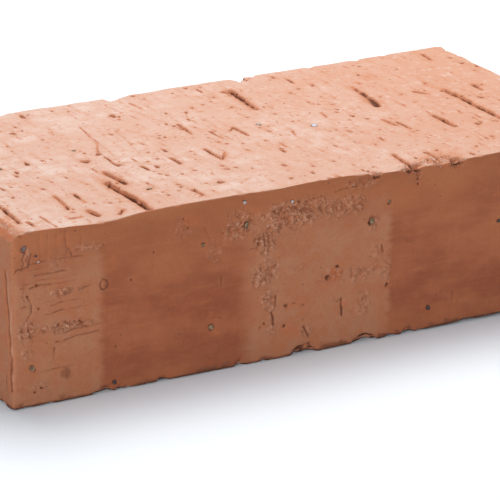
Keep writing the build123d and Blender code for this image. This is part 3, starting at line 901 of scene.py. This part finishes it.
def paint_skin(graph):
    """The die-skinned sides: red-brown, painted darker as if in shade, clouded and streaked, with the kiln's
    kiss marks.
    """
    cloud = graph.step(graph.noise(17.0, 3.0, stretch=(1.4, 1.4, 0.8)), 0.34, 0.68)
    base = graph.mix(cloud, SKIN_DARK, SKIN)
    smear = graph.step(graph.noise(3.0, 4.0, 0.6, stretch=(6.0, 6.0, 0.8), shift=7.0), 0.48, 0.74)
    base = graph.tint(base, smear, 0.35, SKIN_TAN)
    streak = graph.step(graph.noise(1.4, 3.0, 0.6, stretch=(1.0, 1.0, 16.0), shift=19.0), 0.5, 0.75)
    base = graph.tint(base, streak, 0.25, SKIN_DARK)
    # Tan towards the top and darker towards the foot: partly the skin's own tone, partly painted shade low on
    # the sides
    base = graph.tint(base, graph.step(graph.axis("Z"), 30.0, 62.0), 0.45, SKIN_TAN)
    pale = graph.mix(graph.step(graph.noise(7.0, 4.0, shift=3.0), 0.36, 0.64), KISS_ROSY, KISS)
    end = graph.attribute("end")
    shelter = graph.times(kiss_mask(graph), graph.math("SUBTRACT", 1.0, end))
    fade = graph.math("ADD", graph.axis("Z"), graph.times(graph.noise(9.0, 3.0, shift=43.0), 22.0))
    shelter = graph.times(shelter, graph.step(fade, 74.0, 52.0))
    base = graph.tint(base, shelter, 0.92, pale)
    base = graph.tint(base, end, 0.85, pale)
    mottle = graph.step(graph.noise(2.6, 4.0, 0.65, stretch=(1.3, 1.3, 0.8), shift=37.0), 0.50, 0.66)
    base = graph.tint(base, mottle, 0.3, SKIN_EMBER)
    fine = graph.noise(0.6, 4.0, 0.7, shift=23.0)
    return graph.mix(graph.step(fine, 0.28, 0.7), graph.mix(0.38, base, SKIN_DARK), base)


def clay_material():
    graph = Graph("fired clay")
    bed, hollow_shade, torn, warm, pale = map(graph.attribute, ("bed", "hollow_shade", "torn", "warm", "pale"))
    # The beds take the bed paint and the sides the skin paint: the beds' paler tone is partly the clay's own
    # and partly painted light from above, and the sides' darker tone partly painted shade
    base = graph.mix(bed, paint_skin(graph), paint_bed(graph))
    ember = graph.mix(bed, SKIN_EMBER, BED_EMBER)
    shadow = graph.mix(bed, SKIN_HOLLOW_SHADE, BED_HOLLOW_SHADE)
    mottle = graph.step(graph.noise(1.3, 4.0, 0.65, shift=15.0), 0.32, 0.62)
    mottle = graph.math("ADD", graph.times(mottle, 0.75), 0.4)
    base = graph.mix(graph.times(warm, mottle, clamp=True), base, ember)
    arris = graph.times(bed, graph.math("SUBTRACT", 1.0, bed))
    base = graph.mix(graph.times(arris, 3.0, clamp=True), base, ember)
    # The pale map: paler clay, with painted highlights on crumbs and on the lip beside the header's crack
    base = graph.tint(base, pale, 0.7, graph.mix(bed, CRUMB_HIGHLIGHT, BED_PALE))
    # In the torn skin the raised crumbs of the weave are painted paler as painted highlights, and thin crease
    # lines are painted in the shade colour
    weave = graph.noise(1.4, 2.0, 0.5, distortion=0.5, shift=27.0)
    crumbs = graph.times(graph.step(weave, 0.54, 0.64), torn)
    base = graph.tint(base, crumbs, 0.65, graph.mix(bed, CRUMB_HIGHLIGHT, BED_CLAY))
    line = graph.step(graph.math("ABSOLUTE", graph.math("SUBTRACT", weave, 0.49)), 0.05, 0.015)
    base = graph.tint(base, graph.times(line, torn), 0.85, shadow)
    # Painted shade: the hollow map darkens pits, grooves, creases, chips and the foot of the brick towards
    # the shade colour, and to the darkest shade in their cores
    ragged = graph.times(graph.noise(0.7, 3.0, 0.6, shift=17.0), 0.3)
    gloom = graph.math("ADD", hollow_shade, graph.math("SUBTRACT", ragged, 0.15))
    base = graph.mix(graph.step(gloom, 0.08, 0.42), base, shadow)
    base = graph.mix(graph.step(gloom, 0.5, 0.85), base, DEEP_SHADE)
    speck = graph.step(graph.cells(6.0, shift=9.0), 0.07, 0.045)
    base = graph.tint(base, speck, 0.7, SOOT)
    rough = graph.math("ADD", graph.times(graph.noise(1.5, 3.0), 0.2), 0.8, clamp=True)
    normal = graph.bump(graph.noise(0.42, 4.0, 0.7, shift=5.0), 0.35, 0.12)
    ripple = graph.noise(0.9, 4.0, 0.6, stretch=(1.0, 5.0, 3.0), shift=2.0)
    normal = graph.bump(ripple, 0.3, 0.16, normal)
    normal = graph.bump(graph.times(weave, torn), 0.9, 0.9, normal)
    return graph.surface(base, rough, 0.28, normal)


def stone_material(name, dark, light, roughness):
    """A mineral: two tones in fine mottles, with small broken facets that catch the light."""
    graph = Graph(name)
    mottle = graph.step(graph.noise(0.7, 4.0, 0.65), 0.36, 0.64)
    spread = graph.times(graph.noise(0.5, 3.0, shift=3.0), 0.3)
    rough = graph.math("ADD", spread, roughness - 0.15, clamp=True)
    facets = graph.bump(graph.noise(0.3, 3.0, 0.7, shift=8.0), 0.6, 0.15)
    return graph.surface(graph.mix(mottle, dark, light), rough, 0.3, facets)


# ==== The floor, the light and the camera ====
FLOOR_REACH = 3000.0
# Softboxes, in metres and watts: name, place, target, size, power
SOFTBOXES = [
    ("overhead", (0.34, 0.40, 1.1), (0.0, 0.0, 0.0), (1.15, 1.0), 23.2),
    ("fill", (-1.4, -1.45, 0.85), (0.0, 0.0, 0.03), (1.8, 0.4), 27.3),
]
BACKDROP_STRENGTH = 1.1  # of the white that the camera sees behind the floor
ROOM_STRENGTH = 0.32  # of the bluish white that lights the brick from all round


def make_floor():
    """A plain matt sheet."""
    material = Graph("studio floor").surface(colour(0.70, 0.728, 0.752), 0.9, 0.1)
    corners = FLOOR_REACH * np.array([(-1.0, -1.0, 0.0), (1.0, -1.0, 0.0), (1.0, 1.0, 0.0), (-1.0, 1.0, 0.0)])
    floor = add_object("floor", mesh_from("floor", corners, np.array([[0, 1, 2, 3]])), material)


def add_softbox(name, place, target, size, power):
    """A rectangular light aimed at a point."""
    light = bpy.data.lights.new(name, "AREA")
    light.shape = "RECTANGLE"
    light.size, light.size_y = size
    light.energy = power
    thing = bpy.data.objects.new(name, light)
    thing.location = place
    thing.visible_camera = False
    thing.rotation_mode = "QUATERNION"
    thing.rotation_quaternion = (Vector(target) - Vector(place)).to_track_quat("-Z", "Y")
    bpy.context.scene.collection.objects.link(thing)


def make_light():
    """A softbox overhead and a little behind, a low one at the left front, and a white room."""
    for softbox in SOFTBOXES:
        add_softbox(*softbox)
    world = bpy.data.worlds.new("white room")
    world.use_nodes = True
    nodes, links = world.node_tree.nodes, world.node_tree.links
    backdrop = nodes["Background"]
    backdrop.inputs["Color"].default_value = colour(1.0, 1.0, 1.0)
    backdrop.inputs["Strength"].default_value = BACKDROP_STRENGTH
    room = nodes.new("ShaderNodeBackground")
    room.inputs["Color"].default_value = colour(0.88, 0.95, 1.06)
    room.inputs["Strength"].default_value = ROOM_STRENGTH
    pick = nodes.new("ShaderNodeMixShader")
    links.new(nodes.new("ShaderNodeLightPath").outputs["Is Camera Ray"], pick.inputs["Fac"])
    links.new(room.outputs["Background"], pick.inputs[1])
    links.new(backdrop.outputs["Background"], pick.inputs[2])
    links.new(pick.outputs["Shader"], nodes["World Output"].inputs["Surface"])
    bpy.context.scene.world = world


def make_camera():
    lens = bpy.data.cameras.new("camera")
    lens.lens = LENS
    lens.sensor_width = SENSOR
    lens.clip_start, lens.clip_end = 0.05, 50.0
    camera = bpy.data.objects.new("camera", lens)
    place, target = Vector(CAMERA_PLACE) * MILLIMETRE, Vector(CAMERA_TARGET) * MILLIMETRE
    aim = (target - place).to_track_quat("-Z", "Y").to_matrix().to_4x4()
    aim = aim @ Matrix.Rotation(math.radians(CAMERA_ROLL), 4, "Z")
    camera.matrix_world = Matrix.Translation(place) @ aim
    bpy.context.scene.collection.objects.link(camera)
    bpy.context.scene.camera = camera


make_camera()
make_floor()
make_light()
bpy.context.scene.view_settings.view_transform = "Standard"

brick = make_brick(clay_material())
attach(brick, "root")
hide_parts("brick_body")

IRON = stone_material("iron-rich grain", colour(0.032, 0.022, 0.022), colour(0.105, 0.072, 0.068), 0.9)
QUARTZ = stone_material("quartz grain", colour(0.22, 0.26, 0.31), colour(0.64, 0.72, 0.84), 0.4)
MILKY = stone_material("milky quartz grain", colour(0.24, 0.20, 0.175), colour(0.52, 0.455, 0.42), 0.6)
OLIVE = stone_material("lime grain", colour(0.08, 0.05, 0.026), colour(0.30, 0.20, 0.11), 0.9)
SLATE = stone_material("slate grain", colour(0.10, 0.062, 0.058), colour(0.21, 0.135, 0.125), 0.9)
BUFF = stone_material("buff grain", colour(0.30, 0.19, 0.15), colour(0.47, 0.34, 0.29), 0.9)
# The grains whose mineral isn't the usual one of their family
UNUSUAL = [
    (OLIVE, "iron_grain", (2, 4, 8)), (SLATE, "iron_grain", (3,)), (MILKY, "pale_grain", (2, 9, 10)),
    (OLIVE, "pale_grain", (3, 4, 5, 6, 7, 8)), (BUFF, "pale_grain", (11,)),
]
MINERALS = {f"{family}_{place}": stone for stone, family, places in UNUSUAL for place in places}
for number, node in enumerate(sorted(GRAIN_BOXES)):
    slot = "iron_grain" if node.startswith("iron") else "pale_grain"
    usual = {"iron_grain": IRON, "pale_grain": QUARTZ}[slot]
    grain = make_grain(node, MINERALS.get(node, usual), SEED + 50 + number)
    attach(grain, "root")
    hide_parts(node)
